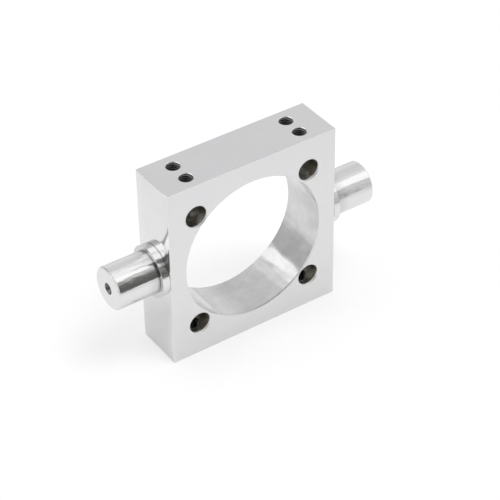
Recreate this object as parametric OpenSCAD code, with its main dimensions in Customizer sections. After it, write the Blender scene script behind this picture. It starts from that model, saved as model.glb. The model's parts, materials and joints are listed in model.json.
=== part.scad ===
// Centre trunnion mount for a tie-rod cylinder of 50 mm bore, machined as one solid.
// A flat block fits over the barrel between the tie rods, clamp screws lock it to the rods,
// and a collared pin on each side lets the cylinder swing in a pair of bearing blocks.
// X runs along the trunnion pins, Y along the barrel and Z up.
// The origin is where the axis of the pins crosses the axis of the barrel.

/* [Block] */
// Width of the block, from one collar to the other
block_w = 69; // [66:0.5:90]
// Depth of the block, along the barrel
block_d = 19.5; // [19.5:0.5:30]
// Height of the block
block_h = 72.5; // [70:0.5:90]
// Leg of the small chamfer on every outer edge of the block
edge_break = 0.1; // [0.1:0.1:0.6]

/* [Barrel bore] */
// Diameter of the bore that slides over the barrel
bore_d = 56; // [50:0.5:56]
// Leg of the chamfer at both mouths of the bore
bore_chamfer = 0.4; // [0.1:0.1:0.4]

/* [Tie-rod holes] */
// Distance between neighbouring tie rods, the same across and up the block
tie_rod_pitch = 46.5; // [46.5:0.5:50]
// Diameter of the holes that the tie rods pass through
tie_rod_hole_d = 8.4; // [6:0.1:8.4]
// Leg of the chamfer at both mouths of a tie-rod hole
tie_rod_chamfer = 0.2; // [0.1:0.05:0.2]

/* [Clamp-screw holes] */
// Outer diameter of the thread in the clamp-screw holes
clamp_thread_d = 5; // [4:0.5:6]
// Distance between the two clamp screws that bear on one tie rod
clamp_spacing = 8; // [7:0.5:10]
// Leg of the countersink at the mouth of a clamp-screw hole
clamp_countersink = 0.25; // [0.1:0.05:0.4]

/* [Trunnion pins] */
// Diameter of the pins
pin_d = 16; // [12:0.5:18]
// Length of a pin, from the face of its collar to its end
pin_length = 16; // [8:0.5:30]
// Leg of the chamfer round the end of a pin
pin_chamfer = 0.5; // [0.2:0.1:1.5]
// Diameter of the collar at the root of a pin
collar_d = 19.4; // [19:0.1:19.4]
// Height of the collar above the side of the block
collar_h = 3; // [1:0.25:6]
// Leg of the chamfer round the face of the collar
collar_chamfer = 0.1; // [0.1:0.05:0.4]

/* [Centre holes] */
// Diameter of the cone at the mouth of the centre hole in a pin end
centre_mouth_d = 4.25; // [3.35:0.05:5.3]
// Diameter of the pilot hole below the cone
centre_pilot_d = 2; // [1.6:0.1:2.5]
// Depth of the pilot hole below the cone, without its point
centre_pilot_depth = 1.5; // [1:0.25:4]

/* [Hidden] */

$fn = 128;
// Angle between opposite sides of the cone in a centre hole
centre_cone_angle = 60;
// Angle between opposite sides of a drill's point
drill_point_angle = 118;
// How far a cutting shape runs past the face that it cuts
overrun = 1;
// Thickness of the wall between the bore and the side of the block
side_wall = (block_w - bore_d) / 2;
// How far the turned pin reaches into the side wall
root_depth = side_wall / 2;
// Distance from the side of the block to the end of a pin
pin_reach = collar_h + pin_length;
metal = [0.80, 0.80, 0.79];

// A rectangle with all four corners cut off at 45 degrees
module chamfered_rectangle(w, h, leg) {
    x = w / 2;
    y = h / 2;
    polygon([
        [x - leg, -y], [x, -y + leg], [x, y - leg], [x - leg, y],
        [-x + leg, y], [-x, y - leg], [-x, -y + leg], [-x + leg, -y],
    ]);
}

module chamfered_bar(w, h, length) {
    linear_extrude(length, center = true) chamfered_rectangle(w, h, edge_break);
}

// The block before drilling: three bars along Z, Y and X share their edges' chamfers
module block_blank() {
    intersection() {
        chamfered_bar(block_w, block_d, block_h);
        rotate([90, 0, 0]) chamfered_bar(block_w, block_h, block_d);
        rotate([0, 90, 0]) chamfered_bar(block_h, block_d, block_w);
    }
}

// The cone that cuts a chamfer into a face at z = 0, which a hole along Z comes out of
module mouth_cone(d, leg) {
    translate([0, 0, -leg]) cylinder(h = leg + overrun, d1 = d, d2 = d + 2 * (leg + overrun));
}

// A hole along Y through the block, with a chamfer at both mouths
module cross_hole(d, leg) {
    rotate([90, 0, 0]) cylinder(h = block_d + 2 * overrun, d = d, center = true);
    for (turn = [90, -90])
        rotate([turn, 0, 0]) translate([0, 0, block_d / 2]) mouth_cone(d, leg);
}

module tie_rod_holes() {
    for (x = [-1, 1], z = [-1, 1])
        translate([x, 0, z] * tie_rod_pitch / 2) cross_hole(tie_rod_hole_d, tie_rod_chamfer);
}

// A threaded hole from the top of the block down to the axis of the tie rod below it
module clamp_hole() {
    translate([0, 0, tie_rod_pitch / 2])
        cylinder(h = (block_h - tie_rod_pitch) / 2 + overrun, d = clamp_thread_d);
    translate([0, 0, block_h / 2]) mouth_cone(clamp_thread_d, clamp_countersink);
}

// Two clamp screws bear on each tie rod, from the top and from the underside
module clamp_holes() {
    for (turn = [0, 180], x = [-1, 1], y = [-1, 1])
        rotate([0, turn, 0])
            translate([x * tie_rod_pitch / 2, y * clamp_spacing / 2, 0]) clamp_hole();
}

// The centre hole left by turning between centres, with its mouth at z = 0
module centre_hole() {
    slope = tan(centre_cone_angle / 2);
    cone_depth = (centre_mouth_d - centre_pilot_d) / 2 / slope;
    point_depth = centre_pilot_d / 2 / tan(drill_point_angle / 2);
    translate([0, 0, -cone_depth])
        cylinder(h = cone_depth + overrun, d1 = centre_pilot_d, d2 = centre_mouth_d + 2 * overrun * slope);
    translate([0, 0, -cone_depth - centre_pilot_depth]) {
        cylinder(h = cone_depth + centre_pilot_depth, d = centre_pilot_d);
        translate([0, 0, -point_depth]) cylinder(h = point_depth, d1 = 0, d2 = centre_pilot_d);
    }
}

// Collar and pin turned in one profile, standing on a face at z = 0
module trunnion() {
    collar_r = collar_d / 2;
    pin_r = pin_d / 2;
    difference() {
        rotate_extrude() polygon([
            [0, -root_depth], [collar_r, -root_depth],
            [collar_r, collar_h - collar_chamfer], [collar_r - collar_chamfer, collar_h],
            [pin_r, collar_h], [pin_r, pin_reach - pin_chamfer],
            [pin_r - pin_chamfer, pin_reach], [0, pin_reach],
        ]);
        translate([0, 0, pin_reach]) centre_hole();
    }
}

module trunnion_body() {
    color(metal) {
        difference() {
            block_blank();
            cross_hole(bore_d, bore_chamfer);
            tie_rod_holes();
            clamp_holes();
        }
        for (turn = [90, -90])
            rotate([0, turn, 0]) translate([0, 0, block_w / 2]) trunnion();
    }
}

trunnion_body();
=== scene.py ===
import json
import math

import bpy
import numpy as np
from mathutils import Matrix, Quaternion, Vector


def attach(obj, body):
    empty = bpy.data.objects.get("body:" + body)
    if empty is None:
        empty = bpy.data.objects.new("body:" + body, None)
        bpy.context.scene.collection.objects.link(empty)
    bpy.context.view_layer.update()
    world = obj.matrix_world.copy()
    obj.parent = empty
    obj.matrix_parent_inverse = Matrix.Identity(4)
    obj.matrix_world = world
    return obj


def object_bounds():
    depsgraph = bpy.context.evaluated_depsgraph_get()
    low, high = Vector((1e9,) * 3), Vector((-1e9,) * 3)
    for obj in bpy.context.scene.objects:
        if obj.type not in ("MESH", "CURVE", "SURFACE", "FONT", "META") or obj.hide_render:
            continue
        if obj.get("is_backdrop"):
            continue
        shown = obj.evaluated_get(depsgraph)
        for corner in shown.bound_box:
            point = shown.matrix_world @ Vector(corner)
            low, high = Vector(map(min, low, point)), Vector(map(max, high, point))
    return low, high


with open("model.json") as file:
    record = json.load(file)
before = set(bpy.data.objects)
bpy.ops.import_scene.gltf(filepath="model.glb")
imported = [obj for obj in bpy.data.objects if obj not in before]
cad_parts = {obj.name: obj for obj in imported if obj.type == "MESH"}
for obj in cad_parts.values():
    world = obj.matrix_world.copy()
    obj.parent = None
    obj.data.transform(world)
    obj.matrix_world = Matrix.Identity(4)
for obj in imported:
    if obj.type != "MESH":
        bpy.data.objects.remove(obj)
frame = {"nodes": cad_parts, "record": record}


# The lowest and highest corner of a box as plain lists
def corners(box):
    return [[float(value) for value in corner] for corner in box]


sizes = {"cad": corners(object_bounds())}
scene = bpy.context.scene
scene.view_settings.view_transform = "Standard"
mountBody = frame["nodes"]["trunnion_body"]
perMetre = 1000.0                 # the part's sizes and finishes are given in millimetres
print("frame loaded, box in metres:", sizes["cad"])


# The part's own sizes in millimetres, from its box, its mounts and its mesh
def measurePart():
    mounts = {mount["name"]: mount for mount in frame["record"]["mounts"]}
    rods, screws = mounts["tie_rod_holes"]["dims"], mounts["clamp_holes_top"]["dims"]
    boreRadius = mounts["barrel_bore"]["dims"]["r_mm"]
    points = np.array([vertex.co for vertex in mountBody.data.vertices]) * perMetre
    aboveBore = np.abs(points[:, 2]) > boreRadius       # only the block reaches up there
    return {
        "depth": perMetre * sizes["cad"][1][1],         # from the middle to the front or back
        "height": perMetre * sizes["cad"][1][2],        # to the top or underside
        "side": float(np.abs(points[aboveBore, 0]).max()),      # to a side face
        "collarFace": perMetre * mounts["right_collar_face"]["pos_m"][0],
        "pinRadius": mounts["right_pin"]["dims"]["r_mm"],
        "boreRadius": boreRadius,
        "rodAcross": rods["spacing_x_mm"] / 2,
        "rodUp": rods["spacing_y_mm"] / 2,
        "rodRadius": rods["hole_r_mm"],
        "screwAlong": screws["spacing_y_mm"] / 2,
        "screwRadius": screws["hole_r_mm"],
    }


part = measurePart()
print("sizes in millimetres:", part)


# A node socket that takes part in Python expressions: each operator adds its Math node
class Wire:
    def __init__(self, tree, socket=None):
        self.tree, self.socket = tree, socket

    # Any other node: its type, the values or links of its sockets, a ramp's stops and its settings
    def make(self, kind, inputs=None, output=0, stops=None, **settings):
        node = self.tree.nodes.new(kind)
        for key, value in settings.items():
            setattr(node, key, value)
        if stops:
            elements = node.color_ramp.elements
            while len(elements) < len(stops):
                elements.new(0.5)                       # anywhere, because all are placed below
            for element, (position, colour) in zip(elements, stops):
                element.position, element.color = position, colour
        for key, value in (inputs or {}).items():
            if isinstance(value, Wire):
                self.tree.links.new(value.socket, node.inputs[key])
            else:
                node.inputs[key].default_value = value
        return Wire(self.tree, node.outputs[output] if len(node.outputs) else None)

    def maths(self, operation, *terms):
        return self.make("ShaderNodeMath", dict(enumerate(terms)), operation=operation)

    def __add__(self, other):
        return self.maths("ADD", self, other)

    def __sub__(self, other):
        return self.maths("SUBTRACT", self, other)

    def __rsub__(self, other):
        return self.maths("SUBTRACT", other, self)

    def __mul__(self, other):
        return self.maths("MULTIPLY", self, other)

    def __truediv__(self, other):
        return self.maths("DIVIDE", self, other)

    def __rtruediv__(self, other):
        return self.maths("DIVIDE", other, self)

    def __pow__(self, other):
        return self.maths("POWER", self, other)

    def __rpow__(self, other):
        return self.maths("POWER", other, self)

    def __gt__(self, other):
        return self.maths("GREATER_THAN", self, other)

    def __lt__(self, other):
        return self.maths("LESS_THAN", self, other)

    def __abs__(self):
        return self.maths("ABSOLUTE", self)

    __radd__ = __add__
    __rmul__ = __mul__

    def larger(self, other):
        return self.maths("MAXIMUM", self, other)

    def smaller(self, other):
        return self.maths("MINIMUM", self, other)

    # Goes smoothly from start, at low and below, to end, at high and above
    def ease(self, low, high, start=0.0, end=1.0):
        values = {"Value": self, "From Min": low, "From Max": high, "To Min": start, "To Max": end}
        return self.make("ShaderNodeMapRange", values, interpolation_type="SMOOTHSTEP")

    # The share of a vector along a direction
    def along(self, direction):
        values = {0: self, 1: tuple(direction)}
        return self.make("ShaderNodeVectorMath", values, "Value", operation="DOT_PRODUCT")

    # As a mask between two numbers or values
    def pick(self, inside, outside):
        return (inside - outside) * self + outside

    # As a mask between two colours, which are inputs 6 and 7 and output 2 of the Mix node
    def tint(self, inside, outside):
        return self.make("ShaderNodeMix", {0: self, 6: outside, 7: inside}, 2, data_type="RGBA")


# A colour times a grey level
def shaded(colour, level):
    values = {0: colour, 3: level}
    return colour.make("ShaderNodeVectorMath", values, operation="SCALE")


# Clears the nodes of a material or of the world, and starts its expressions
def freshTree(owner):
    owner.use_nodes = True
    owner.node_tree.nodes.clear()
    return Wire(owner.node_tree)


# Quads over rows x columns of points. A wrapped surface closes its columns on themselves,
# and caps are further faces, each a list of the points round it.
def surface(name, points, rows, columns, wrapped=False, caps=()):
    below = np.arange(rows - 1)[:, None] * columns
    above = below + columns
    column = np.arange(columns if wrapped else columns - 1)[None, :]
    ahead = (column + 1) % columns
    quads = np.stack([below + column, below + ahead, above + ahead, above + column], axis=-1)
    faces = quads.reshape(-1, 4).tolist() + [list(cap) for cap in caps]
    mesh = bpy.data.meshes.new(name)
    mesh.from_pydata(points.tolist(), [], faces)
    mesh.update()
    piece = bpy.data.objects.new(name, mesh)
    scene.collection.objects.link(piece)
    return piece


# Camera, fitted to the straight edges of the block in a square picture
cameraView = {
    "azimuth": -0.584201674,      # radians round the block, from its front towards +X
    "elevation": 0.655940332,
    "roll": -0.020544591,
    "distance": 0.68181,
    "panAcross": 0.00589993,      # small turns that set the block's place in the frame
    "panUp": 0.00871282,
    "lens": 139.70,
    "sensor": 36.0,
    "clipStart": 0.05,
    "clipEnd": 20.0,
}


# Unit vector at an azimuth from the front towards +X and an elevation, in radians:
# (sin azimuth cos elevation, -cos azimuth cos elevation, sin elevation)
def towards(azimuth, elevation):
    across = math.cos(elevation)
    return Vector((math.sin(azimuth) * across, -math.cos(azimuth) * across, math.sin(elevation)))


def placeCamera(view):
    camera = bpy.data.objects.new("camera", bpy.data.cameras.new("camera"))
    scene.collection.objects.link(camera)
    scene.camera = camera
    camera.data.lens = view["lens"]
    camera.data.sensor_width = view["sensor"]
    camera.data.clip_start = view["clipStart"]
    camera.data.clip_end = view["clipEnd"]
    back = towards(view["azimuth"], view["elevation"])
    camera.location = back * view["distance"]
    camera.rotation_mode = "QUATERNION"
    camera.rotation_quaternion = (
        (-back).to_track_quat("-Z", "Y")
        @ Quaternion((0, 0, 1), view["roll"])
        @ Quaternion((0, 1, 0), -view["panAcross"])
        @ Quaternion((1, 0, 0), -view["panUp"])
    )


placeCamera(cameraView)
print("camera placed")


# Studio: pale walls, a dark gap on the camera's side and soft panels above
studio = {
    # sine of the elevation, and the walls' level there
    "walls": [(0.0, 0.90), (0.30, 0.84), (0.57, 0.74), (0.64, 0.73), (0.74, 0.76), (1.0, 0.80)],
    "gapAzimuth": -17.0,          # degrees from the front towards +X
    "gapHalf": 46.0,
    "gapSoft": 0.037,             # softness of its sides, as a cosine
    "gapLean": 0.075,             # how much wider the gap gets with height
    "gapTop": 40.0,
    "gapTopSoft": 0.15,           # softness of its top, as a sine
    "gapColour": (0.125, 0.126, 0.114, 1.0),
    "panels": [
        # azimuth, elevation, half width, half height in degrees, softness of the edge, level
        (54.0, 10.0, 24.0, 20.0, 0.08, 0.74),
        (-44.0, 50.0, 14.0, 10.0, 0.08, 0.14),
        (-144.0, 12.0, 17.0, 16.0, 0.08, 0.57),
        (-157.0, 44.0, 2.5, 12.0, 0.02, 0.95),
        (78.0, 52.0, 12.0, 10.0, 0.10, 0.98),
        (53.0, 48.0, 11.5, 15.5, 0.04, 1.22),
        (95.0, 73.0, 17.0, 7.5, 0.04, 1.10),
        (-112.0, 46.5, 26.5, 15.5, 0.02, 1.40),
        (-112.0, 70.5, 22.0, 6.0, 0.03, 1.40),
    ],
}
leastDepth, leastFlat = 0.001, 0.0001                   # these keep two divisions off zero


# A flat panel square to (azimuth, elevation): both tangents of the direction, its share across
# or up the panel over its share towards it, stay inside the tangents of the half sizes
def panelMask(direction, azimuth, elevation, halfWidth, halfHeight, soft):
    ahead = towards(math.radians(azimuth), math.radians(elevation))
    right = ahead.cross(Vector((0, 0, 1))).normalized()
    depth = direction.along(ahead)
    mask = depth > 0.0
    for side, half in ((right, halfWidth), (right.cross(ahead), halfHeight)):
        edge = math.tan(math.radians(half))
        tangent = abs(direction.along(side) / depth.larger(leastDepth))
        mask = mask * tangent.ease(edge - soft, edge + soft, 1.0, 0.0)
    return mask


# The gap: the cosine of the azimuth from its middle stays above that of its half width,
# and the sine of the elevation below that of its top
def gapMask(direction, height, look):
    flat = (1.0 - height * height).larger(leastFlat) ** 0.5
    cosine = direction.along(towards(math.radians(look["gapAzimuth"]), 0.0)) / flat
    leaning = cosine + height * look["gapLean"]
    side, soft = math.cos(math.radians(look["gapHalf"])), look["gapSoft"]
    top, topSoft = math.sin(math.radians(look["gapTop"])), look["gapTopSoft"]
    belowTop = height.ease(top - topSoft, top + topSoft, 1.0, 0.0)
    return leaning.ease(side - soft, side + soft) * belowTop


def grey(level):
    return (level, level, level, 1.0)


# What the metal mirrors, by direction. The camera itself sees plain white.
def lightStudio(look):
    scene.world = bpy.data.worlds.new("studio")
    start = freshTree(scene.world)
    direction = start.make("ShaderNodeTexCoord", output="Generated")
    height = direction.along((0, 0, 1))
    walls = [(sine, grey(level)) for sine, level in look["walls"]]
    light = start.make("ShaderNodeValToRGB", {"Fac": height}, stops=walls)
    light = gapMask(direction, height, look).tint(look["gapColour"], light)
    for *place, soft, level in look["panels"]:
        light = panelMask(direction, *place, soft).tint(grey(level), light)
    seen = start.make("ShaderNodeLightPath", output="Is Camera Ray")
    light = seen.tint(grey(1.0), light)
    shade = start.make("ShaderNodeBackground", {"Color": light, "Strength": 1.0})
    start.make("ShaderNodeOutputWorld", {"Surface": shade})


lightStudio(studio)

# Key lamp: high up and a little right of the front, left out of reflections and of the
# picture. It draws the shadow on the floor, to the back left.
keyLamp = {"azimuth": 20.0, "elevation": 69.0, "distance": 1.2, "size": 0.45, "power": 4.5}


def hangLamp(look):
    lamp = bpy.data.objects.new("keyLamp", bpy.data.lights.new("keyLamp", "AREA"))
    scene.collection.objects.link(lamp)
    lamp.data.size = look["size"]
    lamp.data.energy = look["power"]
    ahead = towards(math.radians(look["azimuth"]), math.radians(look["elevation"]))
    lamp.location = ahead * look["distance"]
    lamp.rotation_mode = "QUATERNION"
    lamp.rotation_quaternion = (-ahead).to_track_quat("-Z", "Y")
    lamp.visible_camera = False
    lamp.visible_glossy = False


hangLamp(keyLamp)
print("studio lit")


# Floor: a pale sheet that stops short in front, so that the metal mirrors the dark gap past it
floorSheet = {
    "left": -3.0, "right": 3.0, "front": -0.42, "back": 3.0,
    "columns": 13, "rows": 8,
    "paint": (0.45, 0.45, 0.45, 1.0),
    "seenLift": 0.55,             # glow that brings the unshaded floor up to white
    "mirroredPaint": (0.70, 0.70, 0.70, 1.0),
    "mirroredLift": 0.23,         # the same in the metal, which shows more of the shade
    "fadeStart": 0.05,            # distances over which that glow dims away from the part
    "fadeEnd": 0.30,
}


# Points of a grid over two ranges, at one height: (u, v, height)
def gridSheet(name, us, vs, height):
    u, v = np.meshgrid(us, vs)
    points = np.stack([u, v, np.full_like(u, height)], axis=-1).reshape(-1, 3)
    return surface(name, points, len(vs), len(us))


def floorMaterial(look):
    material = bpy.data.materials.new("paleFloor")
    start = freshTree(material)
    seen = start.make("ShaderNodeLightPath", output="Is Camera Ray")
    mirrored = start.make("ShaderNodeLightPath", output="Is Glossy Ray")
    place = start.make("ShaderNodeTexCoord", output="Object")
    distance = start.make("ShaderNodeVectorMath", {0: place}, "Value", operation="LENGTH")
    dimming = distance.ease(look["fadeStart"], look["fadeEnd"], look["mirroredLift"], 0.0)
    lift = (seen * look["seenLift"]).larger(mirrored * dimming)
    glow = start.make("ShaderNodeEmission", {"Strength": lift})
    paint = mirrored.tint(look["mirroredPaint"], look["paint"])
    paint = start.make("ShaderNodeBsdfDiffuse", {"Color": paint})
    both = start.make("ShaderNodeAddShader", {0: paint, 1: glow})
    start.make("ShaderNodeOutputMaterial", {"Surface": both})
    return material


def layFloor(look):
    across = np.linspace(look["left"], look["right"], look["columns"])
    away = np.linspace(look["front"], look["back"], look["rows"])
    underside = sizes["cad"][0][2]
    sheet = gridSheet("floor", across, away, underside)
    sheet.data.materials.append(floorMaterial(look))
    sheet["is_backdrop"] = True


layFloor(floorSheet)
print("floor laid")


# Steel: one material, whose finish follows the place on the part. Lengths are in millimetres,
# and each noise has the size of its patches and its layers of detail.
steel = {
    "bare": (0.80, 0.80, 0.80, 1.0),
    "cool": (0.79, 0.79, 0.81, 1.0),        # faint blue cast in broad patches
    "coolNoise": (11.0, 2.0),
    "coolRange": (0.02, 0.22),
    "coolOnTop": 0.05,                      # how much more of it the ground faces have
    "wornWidth": 0.35,                      # burnished strip along the block's edges
    "wornGain": 0.04,
    "broadNoise": (9.0, 2.0),               # broad patches in colour and roughness
    "broadShade": 0.04,
    "fineNoise": (0.6, 3.0),                # grain of the milled and drilled surfaces

    # where the finishes end
    "skin": 0.1,                            # how far off its surface a finish still counts
    "film": 0.05,                           # the same under the ground faces and past the sides
    "hair": 0.01,                           # and at the edges of the chamfers and collars
    "boreMouth": 0.35,                      # depth at which the bore's finish starts
    "burrWidth": 0.3,                       # reach of the chamfers round the tie-rod holes
    "tapStart": 0.23,                       # depth at which a threaded hole's finish starts
    "centreRadius": 2.2,                    # centre holes, and how far past the collars they lie
    "centreStart": 1.0,

    # holes
    "drilled": (0.92, 0.92, 0.87, 1.0),     # inside the tie-rod holes
    "mouthDepth": (0.4, 1.1),               # depths between which their bright mouths end
    "gloomDepth": (0.6, 5.5),               # painted shade: depths over which their walls get darker
    "gloom": 0.52,
    "scorched": (0.42, 0.375, 0.32, 1.0),   # brown patches left by the drill
    "scorchNoise": (3.4, 2.0),
    "scorchRange": (-0.10, 0.10),
    "tapped": (0.15, 0.15, 0.145, 1.0),     # painted shade: dark colour inside the threaded holes
    "centred": (0.22, 0.22, 0.22, 1.0),     # painted shade: dark colour inside the centre holes
    "boredShade": 0.17,                     # painted shade: how much darker the bore is than the faces
    "boredNoise": (5.0, 3.0),               # its cloudy patches, and how strong they are
    "boredMottle": 0.30,

    # pins and collars
    "grime": (0.20, 0.20, 0.19, 1.0),       # painted shade in the corners at the roots of pin and collar
    "grimeWidth": 0.3,
    "rootShade": 0.20,                      # painted shade: pins get darker towards their collars
    "rootLength": 6.0,

    # roughness, and how much grain, tool marks and patches change it
    "milledRough": 0.34,                    # front and back faces
    "groundRough": 0.27,                    # top and underside
    "milledGrain": 0.03,
    "milledPatches": 0.06,
    "boredRough": 0.12,                     # barrel bore
    "boredMarks": 0.08,
    "boredPatches": 0.08,
    "facedRough": 0.06,                     # faces turned about the pins' axis
    "facedMarks": 0.04,
    "turnedRough": 0.12,                    # pins and collars
    "turnedMarks": 0.06,
    "burredRough": 0.32,                    # chamfers round the tie-rod holes
    "drilledRough": 0.42,                   # inside all small holes
    "drilledGrain": 0.2,

    # relief
    "pinFeed": 0.35,                        # spacing of the tool marks, and their height
    "faceFeed": 0.5,
    "boreFeed": 0.6,
    "markDetail": 3.0,
    "markHeight": 0.0002,
    "rollStart": 5.25,                      # where the side faces start to fall away to their edges
    "rollDepth": 0.42,
    "mouthReach": 1.2,                      # depth to which a tie-rod hole's wall opens out
    "mouthSlope": 0.75,                     # how steeply, at the mouth itself
    "rimWidth": 0.4,                        # rounded edge at the mouths of the barrel bore
    "rimSlope": 0.55,
    "pinStreaks": ((0.2, 1.0, 1.0), 1.6, 2.0),      # how they are drawn out, then their noise
    "boreStreaks": ((1.0, 0.3, 1.0), 4.0, 1.0),
    "sideNoise": (5.0, 1.0),
    "pinWave": 0.120,                       # heights of the waves that bend the reflections
    "boreWave": 0.200,
    "sideWave": 0.050,
}


# Noise about 0 over a place in millimetres, with patches of the size given
def mottle(place, size, detail):
    values = {"Vector": place, "Scale": 1.0 / size, "Detail": detail}
    return place.make("ShaderNodeTexNoise", values) - 0.5


# The same, drawn out along the axes whose scale is below 1
def streaks(place, scale, size, detail):
    return mottle(place.make("ShaderNodeMapping", {"Vector": place, "Scale": scale}), size, detail)


# Tool marks about 0 that change along one distance only, such as the feed marks of a lathe
def marks(distance, size, detail):
    values = {"W": distance, "Scale": 1.0 / size, "Detail": detail}
    return distance.make("ShaderNodeTexNoise", values, noise_dimensions="1D") - 0.5


# Where a point lies: its distances, the masks of the finishes and the noise that they share.
# The distances ignore signs, because the part is the same on both sides of its middle planes.
class Spot:
    def __init__(self, place, look):
        x, y, z = (abs(place.along(axis)) for axis in ((1, 0, 0), (0, 1, 0), (0, 0, 1)))
        rodX, rodZ, screwY = x - part["rodAcross"], z - part["rodUp"], y - part["screwAlong"]
        fromRod = (rodX * rodX + rodZ * rodZ) ** 0.5
        fromScrew = (rodX * rodX + screwY * screwY) ** 0.5
        self.place, self.x, self.y, self.z = place, x, y, z
        self.fromBore = (x * x + z * z) ** 0.5
        self.fromPin = (y * y + z * z) ** 0.5
        self.inward = part["depth"] - y                 # depth below the front or back face
        self.pastSide = x - part["side"]
        self.pastCollar = x - part["collarFace"]

        skin, hair = look["skin"], look["hair"]
        self.inRod = (fromRod < part["rodRadius"] + skin) * (y < part["depth"] - skin)
        self.burred = fromRod < part["rodRadius"] + look["burrWidth"]
        self.burred = self.burred * (y < part["depth"] - hair)
        self.inScrew = fromScrew < part["screwRadius"] + skin
        self.inScrew = self.inScrew * (z < part["height"] - look["tapStart"]) * (z > part["rodUp"])
        self.inCentre = self.fromPin < look["centreRadius"]
        self.inCentre = self.inCentre * (x > part["collarFace"] + look["centreStart"])
        self.deepInRod = self.inRod * self.inward.ease(*look["mouthDepth"])
        self.drilled = self.deepInRod.larger(self.inScrew).larger(self.inCentre)
        self.bored = self.fromBore < part["boreRadius"] + skin
        self.bored = self.bored * (y < part["depth"] - look["boreMouth"])
        self.ground = z > part["height"] - look["film"]
        self.turned = x > part["side"] + skin
        self.faced = x > part["side"] - skin
        self.onBlock = x < part["side"] + skin

        detail = look["markDetail"]
        self.fine = mottle(place, *look["fineNoise"])
        self.broad = mottle(place, *look["broadNoise"])
        self.alongPin = marks(x, look["pinFeed"], detail)
        self.roundPin = marks(self.fromPin, look["faceFeed"], detail)
        self.alongBore = marks(y, look["boreFeed"], detail)


# Roughness: the milled block, then each finish over the ones before
def steelRoughness(spot, look):
    rough = spot.ground.pick(look["groundRough"], look["milledRough"])
    rough = rough + spot.fine * look["milledGrain"] + spot.broad * look["milledPatches"]
    inBore = spot.alongBore * look["boredMarks"] + spot.broad * look["boredPatches"]
    rough = spot.bored.pick(inBore + look["boredRough"], rough)
    rough = spot.faced.pick(spot.roundPin * look["facedMarks"] + look["facedRough"], rough)
    rough = spot.turned.pick(spot.alongPin * look["turnedMarks"] + look["turnedRough"], rough)
    rough = spot.burred.pick(look["burredRough"], rough)
    return spot.drilled.pick(spot.fine * look["drilledGrain"] + look["drilledRough"], rough)


# Brightness gained along the block's edges. The distance to the nearest edge is the middle one
# of the distances to the side, to the front and to the top: their sum less the other two.
def wornEdges(spot, look):
    room = (part["side"] - spot.x, spot.inward, part["height"] - spot.z)
    most = room[0].larger(room[1]).larger(room[2])
    least = room[0].smaller(room[1]).smaller(room[2])
    toEdge = room[0] + room[1] + room[2] - most - least
    return toEdge.ease(0.0, look["wornWidth"], look["wornGain"], 0.0) * spot.onBlock


# Painted shade where the pin leaves its collar and where the collar leaves the side face
def shadedCorners(spot, look):
    width, film, hair = look["grimeWidth"], look["film"], look["hair"]
    atPin = spot.pastCollar.ease(0.0, width, 1.0, 0.0) * (spot.pastCollar > -hair)
    atPin = atPin * (spot.fromPin < part["pinRadius"] + 2 * hair)
    atCollar = spot.pastSide.ease(film, film + width, 1.0, 0.0) * (spot.pastSide > film)
    return atPin.larger(atCollar)


# Colour: bare steel with a cool cast, stained holes, painted shade deep in the holes, in the
# corners, towards the pins' roots and over the bore, and burnished edges
def steelColour(spot, look):
    cast = mottle(spot.place, *look["coolNoise"]) + spot.ground * look["coolOnTop"]
    paint = cast.ease(*look["coolRange"]).tint(look["cool"], look["bare"])
    scorch = mottle(spot.place, *look["scorchNoise"]).ease(*look["scorchRange"])
    stainAndShade = scorch.tint(look["scorched"], look["drilled"])
    # painted shade: the stained wall gets darker with depth, for the shade inside the hole
    stainAndShade = shaded(stainAndShade, spot.inward.ease(*look["gloomDepth"], 1.0, look["gloom"]))
    paint = spot.deepInRod.tint(stainAndShade, paint)
    # painted shade: dark colours inside the threaded holes and the centre holes
    paint = spot.inCentre.tint(look["centred"], spot.inScrew.tint(look["tapped"], paint))
    # painted shade darkens the corners at the roots of pin and collar
    paint = shadedCorners(spot, look).tint(look["grime"], paint)
    # painted shade: the pins' colour darkens towards their collars
    root = spot.pastCollar.ease(0.0, look["rootLength"], look["rootShade"], 0.0)
    root = root * (spot.pastCollar > -look["skin"])
    # the bore's cloudy patches, less the painted shade that darkens the whole bore
    cloudAndShade = mottle(spot.place, *look["boredNoise"]) * look["boredMottle"] - look["boredShade"]
    level = spot.broad * look["broadShade"] + spot.bored * cloudAndShade + wornEdges(spot, look)
    return shaded(paint, level + 1.0 - root)


# Relief in millimetres: tool marks, the open mouths of the tie-rod holes, the rounded rim of
# the bore, waves that bend the reflections, and side faces that fall away to their edges
def steelRelief(spot, look):
    scored = spot.turned.pick(spot.alongPin, spot.bored.pick(spot.alongBore, spot.fine))

    # the slope times (depth less its square over twice the reach), which is level at the reach
    shallow = spot.inward.smaller(look["mouthReach"]) - look["skin"]
    opening = shallow - shallow * shallow * (0.5 / look["mouthReach"])
    opening = spot.inRod * opening * look["mouthSlope"]

    rimRadius = part["boreRadius"] + look["rimWidth"] + look["skin"]
    rim = spot.inward.smaller(look["rimWidth"]) * (spot.fromBore < rimRadius) * look["rimSlope"]

    onSide = spot.faced * spot.onBlock
    onPins = streaks(spot.place, *look["pinStreaks"]) * look["pinWave"]
    inBore = spot.bored * streaks(spot.place, *look["boreStreaks"]) * look["boreWave"]
    onSides = onSide * mottle(spot.place, *look["sideNoise"]) * look["sideWave"]
    waves = spot.turned.pick(onPins, inBore + onSides)

    # the square of the share of the way from where the fall starts to the front
    fallLength = part["depth"] - look["rollStart"]
    fall = ((spot.y - look["rollStart"]).larger(0.0) / fallLength) ** 2.0
    raised = scored * look["markHeight"] + opening + rim + waves
    return raised - fall * onSide * look["rollDepth"]


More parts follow.
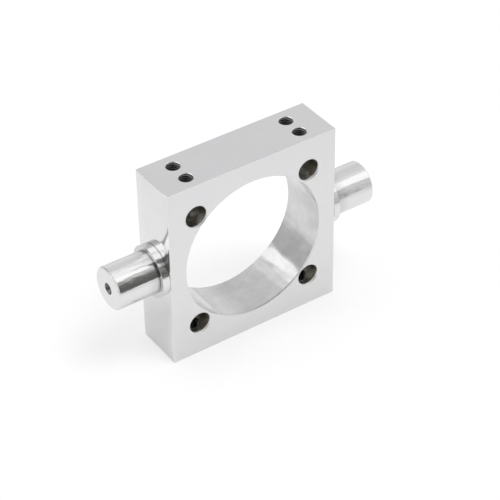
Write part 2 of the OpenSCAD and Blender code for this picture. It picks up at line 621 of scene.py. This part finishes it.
def steelMaterial(look):
    material = bpy.data.materials.new("machinedSteel")
    start = freshTree(material)
    place = start.make("ShaderNodeTexCoord", output="Object")
    place = start.make("ShaderNodeMapping", {"Vector": place, "Scale": (perMetre,) * 3})
    spot = Spot(place, look)
    relief = {"Height": steelRelief(spot, look), "Distance": 1.0 / perMetre, "Strength": 1.0}
    shader = start.make("ShaderNodeBsdfPrincipled", {
        "Base Color": steelColour(spot, look),
        "Metallic": 1.0,
        "Roughness": steelRoughness(spot, look),
        "Normal": start.make("ShaderNodeBump", relief),
    })
    start.make("ShaderNodeOutputMaterial", {"Surface": shader})
    return material


finish = steelMaterial(steel)
mountBody.data.materials.clear()
mountBody.data.materials.append(finish)
print("steel finished")


# Threads: the M5 ridges in the eight clamp-screw holes, in millimetres
thread = {
    "pitch": 0.8,
    "rootRadius": 2.55,           # just inside the wall of the hole
    "crestRadius": 2.10,
    "rootHalf": 0.38,             # half heights of the ridge
    "crestHalf": 0.10,
    # its section's points: share of the way to the crest, and the lower or upper flank
    "section": [(0.0, -1.0), (0.5, -1.0), (1.0, -1.0), (1.0, 1.0), (0.5, 1.0), (0.0, 1.0)],
    "low": 27.2,                  # heights between which the helix runs
    "high": 35.8,
    "runOut": 0.5,                # height over which the ridge fades at either end
    "faintest": 0.04,             # share of the ridge that is left there, inside the wall
    "sinkStart": 36.0,            # height where the countersink leaves the wall
    "clearance": 0.02,
    "stepsPerTurn": 48,
    "sharpAngle": 30.0,           # degrees between two faces, above which their edge is sharp
}


# Section carried up a helix: (cx + r cos a, cy + r sin a, low + pitch a / 2 pi + offset), held
# outside the countersink's cone and above the tie-rod hole's wall, whose height along the screw
# hole is the rod's height + the root of (rod radius squared - (wall radius cos a) squared)
def threadRidge(name, look, centreX, centreY, turned):
    turns = (look["high"] - look["low"]) / look["pitch"]
    angle = np.linspace(0.0, 2 * math.pi * turns, int(turns * look["stepsPerTurn"]) + 1)[:, None]
    middle = look["low"] + look["pitch"] * angle / (2 * math.pi)
    share, flank = np.array(look["section"]).T[:, None, :]
    wall = part["screwRadius"]
    saddle = part["rodUp"] + np.sqrt(part["rodRadius"] ** 2 - (wall * np.cos(angle)) ** 2)
    room = np.minimum(middle - saddle, look["high"] - middle) / look["runOut"]
    ridge = look["rootRadius"] - look["crestRadius"]
    radius = look["rootRadius"] - ridge * share * np.clip(room, look["faintest"], 1.0)
    half = look["rootHalf"] + (look["crestHalf"] - look["rootHalf"]) * share
    height = np.maximum(middle + flank * half, saddle + look["clearance"])
    radius = np.maximum(radius, wall + look["clearance"] + height - look["sinkStart"])
    x = radius * np.cos(angle) + centreX * turned
    y = radius * np.sin(angle) + centreY
    points = np.stack([x * turned, y, height * turned], axis=-1).reshape(-1, 3) / perMetre
    rows, columns = height.shape
    last = (rows - 1) * columns
    caps = [range(columns - 1, -1, -1), range(last, last + columns)]        # both face outwards
    piece = surface(name, points, rows, columns, True, caps)
    piece.data.shade_smooth()
    piece.data.set_sharp_from_angle(angle=math.radians(look["sharpAngle"]))
    piece.data.materials.append(finish)
    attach(piece, "root")


# Turned by -1, a thread goes half a turn round the Y axis, from the top to the underside
for level, turned in (("top", 1), ("bottom", -1)):
    for side, acrossSign in (("left", -1), ("right", 1)):
        for end, alongSign in (("front", -1), ("back", 1)):
            threadRidge(f"thread_{level}_{side}_{end}", thread,
                        acrossSign * part["rodAcross"], alongSign * part["screwAlong"], turned)
print("threads cut")

sizes["visual"] = corners(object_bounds())
print("box with looks, in metres:", sizes["visual"])
